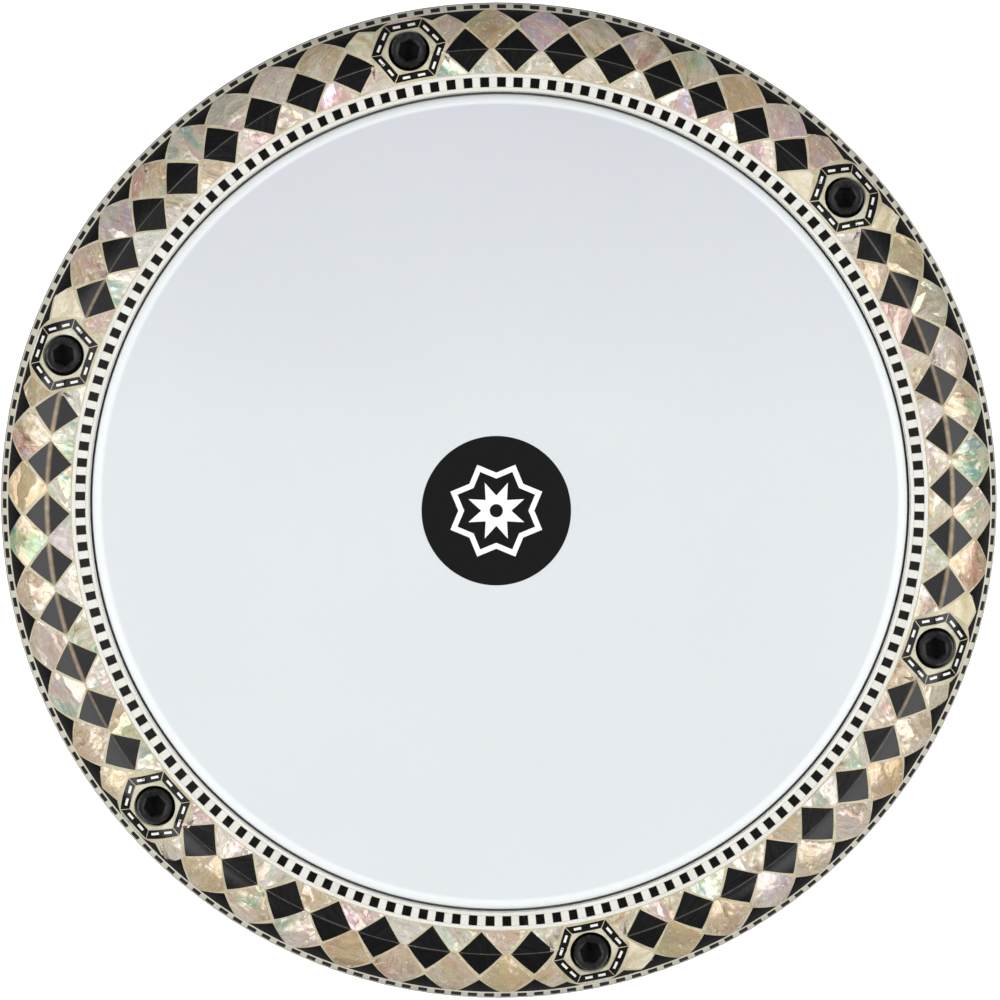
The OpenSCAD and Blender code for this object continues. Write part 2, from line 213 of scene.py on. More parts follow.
class Nodes:
    """The nodes of a material or a world, with short calls that add and link them."""

    def __init__(self, owner, shader="Principled BSDF"):
        owner.use_nodes = True
        self.owner, self.tree = owner, owner.node_tree
        self.shader = self.tree.nodes[shader]

    def put(self, socket, value):
        if isinstance(value, bpy.types.NodeSocket):
            self.tree.links.new(value, socket)
        else:
            socket.default_value = (*value, 1) if socket.type == "RGBA" else value

    def set(self, **inputs):
        """Links or sets inputs of the shader, with _ for a space in their names. Returns the owner."""
        for key, value in inputs.items():
            self.put(self.shader.inputs[key.replace("_", " ")], value)
        return self.owner

    def add(self, kind, inputs=(), **props):
        node = self.tree.nodes.new("ShaderNode" + kind)
        for key, value in props.items():
            setattr(node, key, value)
        for key, value in dict(inputs).items():
            self.put(node.inputs[key], value)
        return node

    def attribute(self, name, output="Fac"):
        return self.add("Attribute", attribute_name=name).outputs[output]

    def position(self):
        return self.add("TexCoord").outputs["Object"]

    def math(self, op, *values):
        return self.add("Math", dict(enumerate(values)), operation=op).outputs[0]

    def plus(self, a, b):
        return self.math("ADD", a, b)

    def minus(self, a, b):
        return self.math("SUBTRACT", a, b)

    def times(self, a, b):
        return self.math("MULTIPLY", a, b)

    def times_plus(self, a, b, c):
        return self.math("MULTIPLY_ADD", a, b, c)

    def vector(self, op, *values, output="Vector"):
        return self.add("VectorMath", dict(enumerate(values)), operation=op).outputs[output]

    def split(self, vector):
        return self.add("SeparateXYZ", {"Vector": vector}).outputs

    def off_axis(self):
        """The distance of the shaded point from the drum's axis."""
        return self.vector("LENGTH", self.vector("MULTIPLY", self.position(), (1, 1, 0)), output="Value")

    def off_screw(self):
        """The distance of the shaded point from the nearest screw's axis."""
        axes = self.split(self.position())
        turn = self.math("ARCTAN2", axes["Y"], axes["X"])
        turn = self.minus(turn, self.times(self.math("ROUND", self.math("DIVIDE", turn, SECTOR)), SECTOR))
        radius = self.off_axis()
        x = self.minus(self.times(radius, self.math("COSINE", turn)), SCREW_R)
        y = self.times(radius, self.math("SINE", turn))
        return self.math("SQRT", self.plus(self.times(x, x), self.times(y, y)))

    def noise(self, vector, scale, detail=3.0, roughness=0.5, distortion=0.0, w=None, output="Fac"):
        inputs = {"Vector": vector, "Scale": scale, "Detail": detail, "Roughness": roughness,
                  "Distortion": distortion}
        if w is None:
            return self.add("TexNoise", inputs, noise_dimensions="3D").outputs[output]
        return self.add("TexNoise", {**inputs, "W": w}, noise_dimensions="4D").outputs[output]

    def ramp(self, fac, *stops):
        """A ramp of linear colours. A stop is a place and a colour, or a place and a grey."""
        node = self.add("ValToRGB", {"Fac": fac})
        elements = node.color_ramp.elements
        while len(elements) < len(stops):
            elements.new(0.5)
        for element, (place, *colour) in zip(elements, stops):
            element.position = place
            element.color = (*(colour if len(colour) == 3 else colour * 3), 1)
        return node.outputs["Color"]

    def tones(self, fac, *stops):
        """A ramp of 0-255 sRGB colours."""
        return self.ramp(fac, *((place, *srgb(*colour)) for place, *colour in stops))

    def range(self, value, low, high, to_low=0, to_high=1):
        inputs = {"Value": value, "From Min": low, "From Max": high, "To Min": to_low, "To Max": to_high}
        return self.add("MapRange", inputs).outputs["Result"]

    def mix(self, fac, a, b, blend="MIX"):
        return self.add("Mix", {0: fac, 6: a, 7: b}, data_type="RGBA", blend_type=blend).outputs[2]

    def tint(self, fac, a, b):
        """The colour a, multiplied by b as far as fac says."""
        return self.mix(fac, a, b, "MULTIPLY")

    def bump(self, height, strength, distance):
        inputs = {"Height": height, "Strength": strength, "Distance": distance}
        return self.add("Bump", inputs).outputs["Normal"]


def material(name, **settings):
    """The nodes of a new material. The settings are inputs of its shader."""
    n = Nodes(bpy.data.materials.new(name))
    n.set(**settings)
    return n


def pearl_material():
    """Mother of pearl: thin layers that end in sharp growth lines, in cream, brown, rose, green and blue."""
    n = material("mother_of_pearl", IOR=1.6, Coat_Weight=0.3, Coat_Roughness=0.05)
    seed, brown = n.attribute("tile_seed"), n.attribute("tile_tone_and_sheen")
    grain = n.attribute("tile_grain", "Vector")
    shift = n.times(seed, 37.0)

    def own(factor):
        """A number from 0 to 1 that belongs to the tile."""
        return n.math("FRACT", n.times(seed, factor))

    def growth(vector, scale, detail, apart=0.0, roughness=0.6, distortion=1.0):
        """Noise of the tile's own. Two of them differ by how far apart they are."""
        return n.noise(vector, scale, detail, roughness, distortion, w=n.plus(shift, apart))

    drift = n.vector("SUBTRACT", n.noise(grain, 170, 2, output="Color"), (0.5, 0.5, 0.5))
    warped = n.vector("MULTIPLY_ADD", drift, (4 * MM, 4 * MM, 4 * MM), grain)
    along, fine = (n.vector("MULTIPLY", warped, (stretch, 1, 1)) for stretch in (0.4, 0.1))
    cell = n.add("TexVoronoi", {"Vector": along, "W": shift, "Scale": 210.0}, voronoi_dimensions="4D").outputs
    patch = n.split(cell["Color"])
    wave = growth(along, 240, 5)
    lines = growth(fine, 1300, 4, 3.0, 0.65, 0.0)
    # A layer grows paler up to its edge, where the next, darker one begins
    bend = growth(along, 110, 3, 7.0, 0.5, 0.0)
    layer = n.math("FRACT", n.times_plus(n.split(warped)["Y"], 430.0, n.times_plus(bend, 6.0, shift)))
    edge = n.ramp(layer, (0.0, 0.05), (0.07, 0.5), (0.5, 0.55), (0.9, 0.95), (0.97, 1.0), (1.0, 0.1))
    depth = n.range(own(5.3), 0, 1, 0.1, 0.36)
    value = n.times_plus(n.minus(edge, 0.55), depth, n.range(wave, 0.28, 0.72, 0.0, 0.44))
    value = n.plus(value, n.times_plus(patch[0], 0.24, 0.173))
    colour = n.tones(value, (0.2, 124, 112, 96), (0.3, 176, 163, 142), (0.38, 208, 199, 180),
                     (0.47, 226, 220, 206), (0.57, 240, 236, 226), (0.68, 250, 248, 243), (0.8, 255, 255, 254))
    browned = n.times(brown, n.range(bend, 0.36, 0.62, 0.35, 1.35))
    colour = n.mix(browned, colour, n.tint(1.0, colour, (0.86, 0.74, 0.62)))
    # The colours of the thin layers, strong in some patches of some tiles
    hue_wave = growth(along, 120, 2.5, 11.0, 0.5)
    place = n.times_plus(own(7.31), 0.5, n.range(hue_wave, 0.25, 0.75, -0.15, 0.55))
    hue = n.ramp(n.times_plus(patch[2], 0.12, place), (0.1, 0.30, 0.62, 0.68), (0.2, 0.46, 0.86, 0.74),
                 (0.28, 0.78, 1.0, 0.76), (0.38, 1.0, 0.98, 0.90), (0.5, 1.0, 0.88, 0.68),
                 (0.6, 1.0, 0.96, 0.90), (0.7, 1.0, 0.78, 0.76), (0.8, 1.0, 0.66, 0.72),
                 (0.92, 0.80, 0.76, 1.0))
    strength = n.range(n.times_plus(patch[1], 0.45, n.times(seed, 0.55)), 0.22, 0.75, 0.2, 1.0)
    colour = n.mix(strength, colour, n.tint(1.0, colour, hue))
    # A few tiles are a calm golden brown, and a few a cool pale blue and rose
    mood = own(11.7)
    golden = n.times(n.range(mood, 0.74, 0.84, 0.0, 0.8), n.range(brown, 0.0, 0.6, 0.35, 1.0))
    gold = n.tones(bend, (0.36, 186, 150, 100), (0.5, 210, 177, 124), (0.62, 232, 209, 162))
    colour = n.mix(golden, colour, n.mix(0.3, gold, colour))
    cold = n.tones(hue_wave, (0.36, 176, 204, 208), (0.45, 222, 228, 220), (0.52, 242, 232, 236),
                   (0.62, 220, 204, 226))
    colour = n.mix(n.range(mood, 0.14, 0.24, 0.65, 0.0), colour, n.mix(0.5, cold, colour))
    streaks = n.ramp(lines, (0.34, 0.58, 0.50, 0.42), (0.48, 1), (0.66, 1.1))
    colour = n.tint(n.range(golden, 0.0, 0.8, 0.6, 0.25), colour, streaks)
    # Painted glints: small hard-edged flecks painted near white
    painted_glint = growth(warped, 560, 3, 5.0, distortion=1.5)
    colour = n.mix(n.range(painted_glint, 0.6, 0.64, 0.0, 0.8), colour, srgb(252, 250, 246))
    crack = growth(along, 380, 4, 23.0, distortion=3.0)
    colour = n.tint(0.6, colour, n.ramp(crack, (0.486, 1), (0.5, 0.42, 0.34, 0.26), (0.514, 1)))
    plain = n.range(brown, 1.2, 1.4)
    cloudy = n.tones(wave, (0.35, 206, 190, 150), (0.5, 226, 216, 184), (0.65, 238, 232, 208))
    colour = n.mix(plain, colour, n.mix(0.3, cloudy, colour))
    # Each patch is a facet that leans its own way
    from_middle = n.vector("SUBTRACT", along, cell["Position"])
    lean = n.vector("SUBTRACT", cell["Color"], (0.5, 0.5, 0.5))
    facet = n.vector("DOT_PRODUCT", from_middle, lean, output="Value")
    relief = n.times_plus(n.plus(wave, layer), 0.06 * MM, facet)
    metallic = n.times(n.range(value, 0.3, 0.6, 0.1, 0.42), n.minus(1.0, plain))
    return n.set(Base_Color=colour, Metallic=metallic, Roughness=n.range(wave, 0.3, 0.7, 0.16, 0.34),
                 Normal=n.bump(relief, 0.7, 1.0))


def black_tile_material(name, ior):
    """Black tile with faint sanding marks. Along the crest some carry a painted highlight, a grey or a brown
    line.
    """
    n = material(name, IOR=ior)
    seed, painted_sheen = n.attribute("tile_seed"), n.attribute("tile_tone_and_sheen")
    stretched = n.vector("MULTIPLY", n.attribute("tile_grain", "Vector"), (0.12, 1, 1))
    marks = n.noise(stretched, 1500, 4, 0.7, w=n.times(seed, 19.0))
    colour = n.tones(marks, (0.35, 9, 9, 11), (0.6, 16, 16, 18), (0.75, 30, 28, 27))
    # Painted highlight: a band along the crest is painted grey to brown, as wide and as strong as the tile's
    # painted sheen
    from_crest = n.math("ABSOLUTE", n.minus(n.off_axis(), CREST_R))
    width = n.range(painted_sheen, 0.2, 1.0, 0.22 * MM, 0.85 * MM)
    crest_highlight = n.times(n.range(from_crest, 0, width, 1, 0), painted_sheen)
    crest_highlight = n.times(crest_highlight, n.range(n.noise(n.position(), 500), 0.3, 0.7, 0.5, 1.0))
    lighter_part = n.mix(n.range(painted_sheen, 0.3, 0.6), srgb(150, 148, 144), srgb(190, 169, 134))
    roughness = n.times_plus(crest_highlight, 0.3, n.range(marks, 0.3, 0.75, 0.16, 0.32))
    return n.set(Base_Color=n.mix(crest_highlight, colour, lighter_part), Roughness=roughness,
                 Normal=n.bump(marks, 0.06, 0.03 * MM))


def cream_material(name, *tones):
    """Cream inlay strip: bone-like, with fine pores and a slight change of tone from piece to piece."""
    n = material(name, IOR=1.5, Coat_Weight=0.3, Coat_Roughness=0.1)
    place = n.position()
    cloud = n.noise(place, 130)
    pores = n.noise(place, 2600, 2, 0.6)
    tone = n.tones(n.attribute("tile_seed"), *((0.5 * i, *tone) for i, tone in enumerate(tones)))
    tone = n.tint(0.5, tone, n.ramp(cloud, (0.3, 0.90, 0.90, 0.86), (0.7, 1.0, 1.0, 0.99)))
    tone = n.tint(0.5, tone, n.ramp(pores, (0.3, 0.80, 0.76, 0.68), (0.45, 1)))
    return n.set(Base_Color=tone, Roughness=n.range(pores, 0.3, 0.7, 0.24, 0.4),
                 Normal=n.bump(pores, 0.1, 0.03 * MM))


def resin_material(name, low, mid, high):
    """The cream casting resin between the tiles: olive-beige with darker specks."""
    n = material(name, Roughness=0.35, IOR=1.5, Coat_Weight=0.3, Coat_Roughness=0.1)
    place = n.position()
    cloud = n.noise(place, 180, 4, 0.6)
    specks = n.ramp(n.noise(place, 2200, 2), (0.28, 0.5, 0.44, 0.34), (0.4, 1))
    tone = n.tint(0.7, n.tones(cloud, (0.3, *low), (0.5, *mid), (0.7, *high)), specks)
    return n.set(Base_Color=tone, Normal=n.bump(cloud, 0.1, 0.05 * MM))


def cast_material():
    """Cast aluminium: a fine sandy skin, with a broad mottle in its tone."""
    n = material("cast_aluminium", Metallic=1.0)
    place = n.position()
    sand = n.noise(place, 1400, 5, 0.65)
    tone = n.ramp(n.noise(place, 45), (0.3, 0.62, 0.61, 0.58), (0.7, 0.78, 0.77, 0.74))
    tone = n.tint(0.5, tone, n.ramp(sand, (0.35, 0.75, 0.74, 0.72), (0.6, 1)))
    return n.set(Base_Color=tone, Roughness=n.range(sand, 0.3, 0.7, 0.42, 0.62),
                 Normal=n.bump(sand, 0.35, 0.12 * MM))


def rim_material():
    """The counter rim's cast aluminium, near black on the walls of the six screw recesses."""
    n = material("rim_aluminium")
    place = n.position()
    sand = n.noise(place, 1400, 5, 0.65)
    metal = n.ramp(sand, (0.3, 0.60, 0.59, 0.56), (0.6, 0.80, 0.79, 0.76))
    # Near black within each screw recess, down to about 3 mm below the washers' top
    from_screw = n.times_plus(sand, 0.3 * MM, n.off_screw())
    lighter_part = n.math("MAXIMUM", n.range(from_screw, RECESS_R + 0.5 * MM, RECESS_R + 0.7 * MM),
                  n.range(n.split(place)["Z"], WASHER_TOP_Z - 4 * MM, WASHER_TOP_Z - 3 * MM, 1, 0))
    return n.set(Base_Color=n.mix(lighter_part, srgb(16, 16, 17), metal), Metallic=lighter_part,
                 Roughness=n.range(sand, 0.3, 0.7, 0.42, 0.62), Normal=n.bump(sand, 0.3, 0.08 * MM))


def turned_material(name, base):
    """Bare metal with fine turning lines round the drum's axis."""
    n = material(name, Metallic=1.0)
    place = n.position()
    lines = n.noise(n.vector("MULTIPLY", place, (0.02, 0.02, 1)), 6000, 4, 0.7)
    tone = n.tint(0.4, base, n.ramp(lines, (0.35, 0.7), (0.65, 1)))
    roughness = n.range(n.noise(place, 90), 0.3, 0.7, 0.16, 0.34)
    return n.set(Base_Color=tone, Roughness=roughness, Normal=n.bump(lines, 0.15, 0.02 * MM))


def film_material():
    """White polyester film: smooth, a little cloudy, with a soft satin gloss. It carries painted shade, a
    darker grey towards its top side, and a painted glow, whiter where it bends over the bearing edge.
    """
    n = material("drum_film", IOR=1.45, Subsurface_Weight=0.15, Subsurface_Scale=1.5 * MM)
    place = n.position()
    fine = n.noise(place, 1600, 3, 0.6)
    tone = n.tones(n.noise(place, 9, 2), (0.3, 219, 220, 223), (0.7, 223, 224, 227))
    # Painted shade: a darker grey towards UP, the drum's top as seen from above
    painted_shade_top = n.range(n.vector("DOT_PRODUCT", place, UP, output="Value"), 20 * MM, EDGE_R)
    tone = n.mix(painted_shade_top, tone, n.tint(1.0, tone, (0.86, 0.85, 0.88)))
    # Painted glow: the film is painted whiter where it bends over the bearing edge
    painted_glow_edge = n.range(n.off_axis(), EDGE_R - 2.7 * MM, EDGE_R - 1.9 * MM)
    return n.set(Base_Color=n.mix(painted_glow_edge, tone, srgb(238, 237, 238)),
                 Roughness=n.range(fine, 0.3, 0.7, 0.28, 0.36), Normal=n.bump(fine, 0.03, 0.01 * MM))


def black_steel_material():
    """Black-oxide steel: near black and oily. Its socket is painted near black as shade, and its head's rim
    carries a painted highlight a touch lighter.
    """
    n = material("black_steel", Metallic=0.4)
    place = n.position()
    mottle = n.noise(place, 900, 4, 0.6)
    tone = n.tones(mottle, (0.3, 24, 24, 26), (0.6, 34, 34, 36), (0.8, 56, 54, 53))
    below_top = n.range(n.split(place)["Z"], SCREW_HIGH.z - 0.4 * MM, SCREW_HIGH.z - 0.15 * MM, 1, 0)
    off_screw = n.off_screw()
    # Painted shade: below the head's top and within the socket's width the steel is painted near black
    socket = n.times(below_top, n.range(off_screw, HEAD_R - 1.6 * MM, HEAD_R - 1.4 * MM, 1, 0))
    # Painted highlight: the steel is painted lighter near the head's rim, most on its top
    painted_sheen = n.range(off_screw, HEAD_R - 0.7 * MM, HEAD_R - 0.4 * MM)
    painted_sheen = n.times(painted_sheen, n.range(mottle, 0.4, 0.65, 0.15, 0.9))
    tone = n.mix(n.times(painted_sheen, n.range(below_top, 0, 1, 1, 0.4)), tone, srgb(96, 94, 92))
    roughness = n.times_plus(socket, 0.4, n.range(mottle, 0.3, 0.7, 0.28, 0.46))
    return n.set(Base_Color=n.mix(socket, tone, srgb(4, 4, 4)), Roughness=roughness,
                 Normal=n.bump(mottle, 0.25, 0.03 * MM))


def ink_material(name, dark, light):
    """Screen-printed ink: matte and slightly grainy."""
    n = material(name, IOR=1.3)
    grain = n.noise(n.position(), 2500, 3, 0.6)
    return n.set(Base_Color=n.tones(grain, (0.3, *dark), (0.7, *light)),
                 Roughness=n.range(grain, 0.3, 0.7, 0.42, 0.55))


PEARL = pearl_material()
BLACK = black_tile_material("black_tile", 1.5)
BLACK_SQUARE = black_tile_material("black_square", 1.3)
CREAM = cream_material("cream_strip", (221, 221, 215), (232, 232, 229), (226, 224, 217))
OLD_CREAM = cream_material("yellowed_strip", (211, 207, 190), (222, 218, 204), (214, 208, 190))
DASH_WHITE = cream_material("white_dash", (238, 238, 234), (246, 246, 242), (240, 238, 230))
RESIN = resin_material("inlay_resin", (176, 164, 132), (198, 188, 158), (212, 204, 178))
PLATE = resin_material("rosette_plate", (186, 180, 152), (204, 200, 176), (216, 214, 196))
CAST = cast_material()
RIM_CAST = rim_material()
HOOP = turned_material("hoop_aluminium", (0.78, 0.78, 0.78))
ZINC = turned_material("zinc_steel", (0.56, 0.57, 0.58))
FILM = film_material()
BLACK_STEEL = black_steel_material()
INK = ink_material("black_print", (5, 5, 6), (13, 13, 14))
WHITE_INK = ink_material("white_print", (238, 240, 243), (248, 250, 252))


# ---- mesh helpers
def add_object(name, data):
    obj = bpy.data.objects.new(name, data)
    bpy.context.scene.collection.objects.link(obj)
    return obj


def finish_piece(name, mesh, mat, body, replaces=(), sharp=35):
    """Makes an object of the mesh, which rides on a body and stands for CAD nodes."""
    obj = add_object(name, mesh)
    mesh.materials.append(mat)
    mesh.polygons.foreach_set("use_smooth", np.ones(len(mesh.polygons), bool))
    mesh.set_sharp_from_angle(angle=math.radians(sharp))
    if body:
        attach(obj, body)
    if replaces:
        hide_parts(*replaces)
    return obj


def mesh_from(name, points, faces):
    """A mesh whose faces all look outwards."""
    mesh = bpy.data.meshes.new(name)
    mesh.from_pydata([tuple(p) for p in points], [], faces)
    bm = bmesh.new()
    bm.from_mesh(mesh)
    bmesh.ops.recalc_face_normals(bm, faces=bm.faces)
    bm.to_mesh(mesh)
    bm.free()
    return mesh


def evaluated_mesh(obj):
    """The mesh of an object with its modifiers or its curve worked out."""
    bpy.context.view_layer.update()
    return bpy.data.meshes.new_from_object(obj.evaluated_get(bpy.context.evaluated_depsgraph_get()))


def loop_faces(loops, n, closed=False):
    """The faces between successive loops of n points each, and from the last to the first if they close."""
    faces = []
    for k in range(loops if closed else loops - 1):
        a, b = k * n, (k + 1) % loops * n
        faces += [(a + i, a + (i + 1) % n, b + (i + 1) % n, b + i) for i in range(n)]
    return faces


def lathe(name, outline, segments, closed=True):
    """A mesh turned from an outline of (r, z) points. A point at r = 0 becomes one point on the axis."""
    points, faces, rings = [], [], []
    angles = np.linspace(0, TAU, segments, endpoint=False)
    for r, z in outline:
        if r < 1e-7:
            rings.append([len(points)] * segments)
            points.append((0, 0, z))
        else:
            rings.append(list(range(len(points), len(points) + segments)))
            points.extend((r * math.cos(a), r * math.sin(a), z) for a in angles)
    for low, high in zip(rings, rings[1:] + rings[:int(closed)]):
        for i in range(segments):
            j = (i + 1) % segments
            face = [low[i], low[j], high[j], high[i]]
            face = [v for k, v in enumerate(face) if v != face[k - 1]]
            if len(set(face)) > 2:
                faces.append(face)
    return mesh_from(name, points, faces)


def resin_bed(name, profile, s0, s1, sunk, segments, step, below=1):
    """A closed band under the inlay from s0 to s1. Its hidden side's steps are `below` times as long."""
    count = max(2, int(abs(s1 - s0) / step) + 1)
    upper = profile.place(0.0, np.linspace(s0, s1, count), -sunk)
    lower = profile.place(0.0, np.linspace(s1, s0, max(2, count // below)), -RESIN_DEPTH)
    return lathe(name, [(p[0], p[2]) for p in (*upper, *lower)], segments)


class Tiles:
    """Gathers small tiles on one profile into one mesh. Each has its own seed and direction of grain."""

    def __init__(self, profile, step, lean=0.0):
        self.profile, self.step, self.lean = profile, step, lean
        self.points, self.faces, self.seeds, self.grains, self.tones = [], [], [], [], []
        self.count = 0

    def gather(self, points, faces, seed, tone=0.0, grain=None):
        """Takes in one closed solid. Its faces count its own points."""
        self.faces += [tuple(self.count + v for v in face) for face in faces]
        self.points.append(points)
        self.count += len(points)
        self.seeds.append(np.full(len(points), seed))
        self.tones.append(np.full(len(points), tone))
        self.grains.append(np.zeros((len(points), 3)) if grain is None else grain)

    def add(self, corners, top=0.0, bottom=-TILE_T, bevel=BEVEL, joint=JOINT, seed=None, turn=None, tone=0.0):
        """corners are (angle, s) pairs in order; the tile stops half a joint's width inside them."""
        corners = np.array(corners, float)
        mid = corners.mean(0)
        radius = self.profile.radius(mid[1])
        flat = (corners - mid) * [radius, 1]
        if polygon_area(flat) < 0:
            flat = flat[::-1]
        outline = shrink(flat, joint / 2)
        face = None if outline is None else shrink(outline, bevel)
        if face is None:
            return
        outer, inner = subdivide(outline, face, self.step)
        rings = max(1, int(np.abs(inner).max() / self.step))
        lean = np.array([random.gauss(0, self.lean), random.gauss(0, self.lean)])
        lean *= min(1.0, DEEPEST_LEAN / max(np.abs(outer @ lean).max(), 1e-12))
        centre = inner.mean(0)
        layers = [(outer, bottom), (outer, top - bevel), (inner, top)]
        layers += [(centre + (inner - centre) * (1 - k / rings), top) for k in range(1, rings)]
        n, tip = len(outer), len(layers) * len(outer)
        faces = loop_faces(len(layers), n)
        faces += [(tip - n + i, tip - n + (i + 1) % n, tip) for i in range(n)]
        faces.append(tuple(reversed(range(n))))
        layers.append((centre[None], top))
        points = [self.profile.place(mid[0] + shape[:, 0] / radius, mid[1] + shape[:, 1],
                                     height + (shape @ lean if height > bottom else 0))
                  for shape, height in layers]
        seed = random.random() if seed is None else seed
        turn = random.uniform(0, TAU) if turn is None else turn
        shapes = np.concatenate([shape for shape, _ in layers])
        cos, sin = math.cos(turn), math.sin(turn)
        grain = np.stack([shapes @ [cos, sin], shapes @ [-sin, cos], np.zeros(len(shapes))], -1)
        self.gather(np.concatenate(points), faces, seed, tone, grain + [random.random(), random.random(), 0])

    def build(self, name, mat, body, slot, replaces=()):
        mesh = mesh_from(name, np.concatenate(self.points), self.faces)
        # The tone attribute holds a pearl tile's brownness, and a black tile's painted crest highlight
        for key, kind, field, values in (("tile_seed", "FLOAT", "value", self.seeds),
                                         ("tile_tone_and_sheen", "FLOAT", "value", self.tones),
                                         ("tile_grain", "FLOAT_VECTOR", "vector", self.grains)):
            layer = mesh.attributes.new(key, kind, "POINT")
            layer.data.foreach_set(field, np.concatenate(values).astype(np.float32).ravel())
        return finish_piece(name, mesh, mat, body, replaces)


def polygon_area(p):
    x, y = p[:, 0], p[:, 1]
    return 0.5 * float(np.sum(x * np.roll(y, -1) - y * np.roll(x, -1)))


def shrink(p, distance):
    """A convex polygon, counter-clockwise, with each side moved in by a distance; None if nothing is left."""
    if distance <= 0:
        return p
    sides = np.roll(p, -1, 0) - p
    sides /= np.linalg.norm(sides, axis=1)[:, None]
    normals = np.stack([-sides[:, 1], sides[:, 0]], -1)
    out = np.empty_like(p)
    for i, corner in enumerate(p):
        a, b = normals[i - 1], normals[i]
        across = a[0] * b[1] - a[1] * b[0]
        if abs(across) < 1e-6:
            out[i] = corner + distance * b
            continue
        da, db = a @ corner + distance, b @ corner + distance
        out[i] = [(da * b[1] - db * a[1]) / across, (a[0] * db - b[0] * da) / across]
    if polygon_area(out) < 0.02 * polygon_area(p) or np.abs(out).max() > np.abs(p).max() * 1.01:
        return None
    return out


def subdivide(outer, inner, step):
    """Both outlines with the same number of points, none further apart than about a step."""
    new_outer, new_inner = [], []
    for a, b, c, d in zip(outer, np.roll(outer, -1, 0), inner, np.roll(inner, -1, 0)):
        parts = max(1, math.ceil(np.linalg.norm(b - a) / step))
        for k in range(parts):
            new_outer.append(a + (b - a) * (k / parts))
            new_inner.append(c + (d - c) * (k / parts))
    return np.array(new_outer), np.array(new_inner)


# ---- the shell's outer line
FOOT_EDGE_H = 9 * MM
NECK_Z = 190 * MM
BELL_POWER = 2.6
SHOULDER = (110 * MM, 300 * MM)
WALL_TOP_Z = 366 * MM
BOWL_LEAN = 0.06
COVE_END_Z = FLANGE_BAND[0] - 2.6 * MM


def shell_profile():
    """The foot's bell, the neck, the shoulder, the bowl's wall and the cove under the flange."""
    levels = np.linspace(FOOT_EDGE_H, NECK_Z, 60)
    flare = ((NECK_Z - levels) / (NECK_Z - FOOT_EDGE_H)) ** BELL_POWER
    bell = [(NECK_R + (FOOT_R - 0.5 * MM - NECK_R) * f, z) for f, z in zip(flare, levels)]
    neck = (NECK_R, NECK_BAND[1])
    shoulder = bezier([neck, (NECK_R, NECK_BAND[1] + 32 * MM),
                       (SHOULDER[0] - 3.6 * MM, SHOULDER[1] - 60 * MM), SHOULDER], 80)
    wall_r = SHOULDER[0] + BOWL_LEAN * (WALL_TOP_Z - SHOULDER[1])
    cove = bezier([(wall_r, WALL_TOP_Z), (wall_r + 1.3 * MM, WALL_TOP_Z + 22 * MM),
                   (FLANGE_R - 14 * MM, COVE_END_Z - 3.4 * MM), (FLANGE_R - 1.5 * MM, COVE_END_Z)], 40)
    return Profile([*bell, neck, *shoulder[1:], *cove], smooth=1 * MM)


SHELL = shell_profile()
FLANGE = Profile([(FLANGE_R, z) for z in FLANGE_BAND])


# ---- inlay patterns
SQUARE = 2.35 * MM
SQUARE_SHARE = 0.535
LINE_W = 1.0 * MM
LINE_PIECES = 12
LINE_STEPS = 30
RING_H = 2 * LINE_W + SQUARE
LATTICE = 42


class Inlay:
    """The tiles of one body's inlay, gathered by kind, so that each kind is one piece."""

    def __init__(self, profile, step, lean):
        self.black = Tiles(profile, step, lean)
        self.pearl = Tiles(profile, step, lean)
        self.cream = Tiles(profile, step)
        self.profile = profile


def checker(inlay, s0, s1, count, share=SQUARE_SHARE):
    """A strip of black and cream squares, end to end round the drum."""
    pitch = TAU / count
    for i in range(count):
        start, end = i * pitch, (i + 1) * pitch
        split = start + pitch * (share + random.gauss(0, 0.015))
        for tiles, a, b in ((inlay.black, start, split), (inlay.cream, split, end)):
            tiles.add([(a, s0), (b, s0), (b, s1), (a, s1)], joint=FINE_JOINT, bevel=FINE_BEVEL)


def line(inlay, s0, s1):
    """A cream line round the drum, laid in a few lengths."""
    inset = math.copysign(FINE_JOINT / 2, s1 - s0)
    face = math.copysign(FINE_JOINT / 2 + LINE_BEVEL, s1 - s0)
    s = np.array([s0 + inset, s0 + inset, s0 + face, s1 - face, s1 - inset, s1 - inset])
    height = np.array([-TILE_T, -LINE_BEVEL, 0, 0, -LINE_BEVEL, -TILE_T])
    for i in range(LINE_PIECES):
        angles = TAU / LINE_PIECES * (i + np.linspace(0, 1, LINE_STEPS + 1))
        points = inlay.profile.place(angles[:, None], s, height).reshape(-1, 3)
        ends = [tuple(range(len(s))), tuple(range(len(points) - 1, len(points) - 1 - len(s), -1))]
        inlay.cream.gather(points, loop_faces(LINE_STEPS + 1, len(s)) + ends, random.random())


def ring(inlay, s0, count):
    """A cream line, a checker strip and another cream line, upwards from s0. Returns where it ends."""
    s1 = s0 + LINE_W
    s2 = s1 + SQUARE
    line(inlay, s0, s1)
    checker(inlay, s1, s2, count)
    line(inlay, s2, s2 + LINE_W)
    return s2 + LINE_W


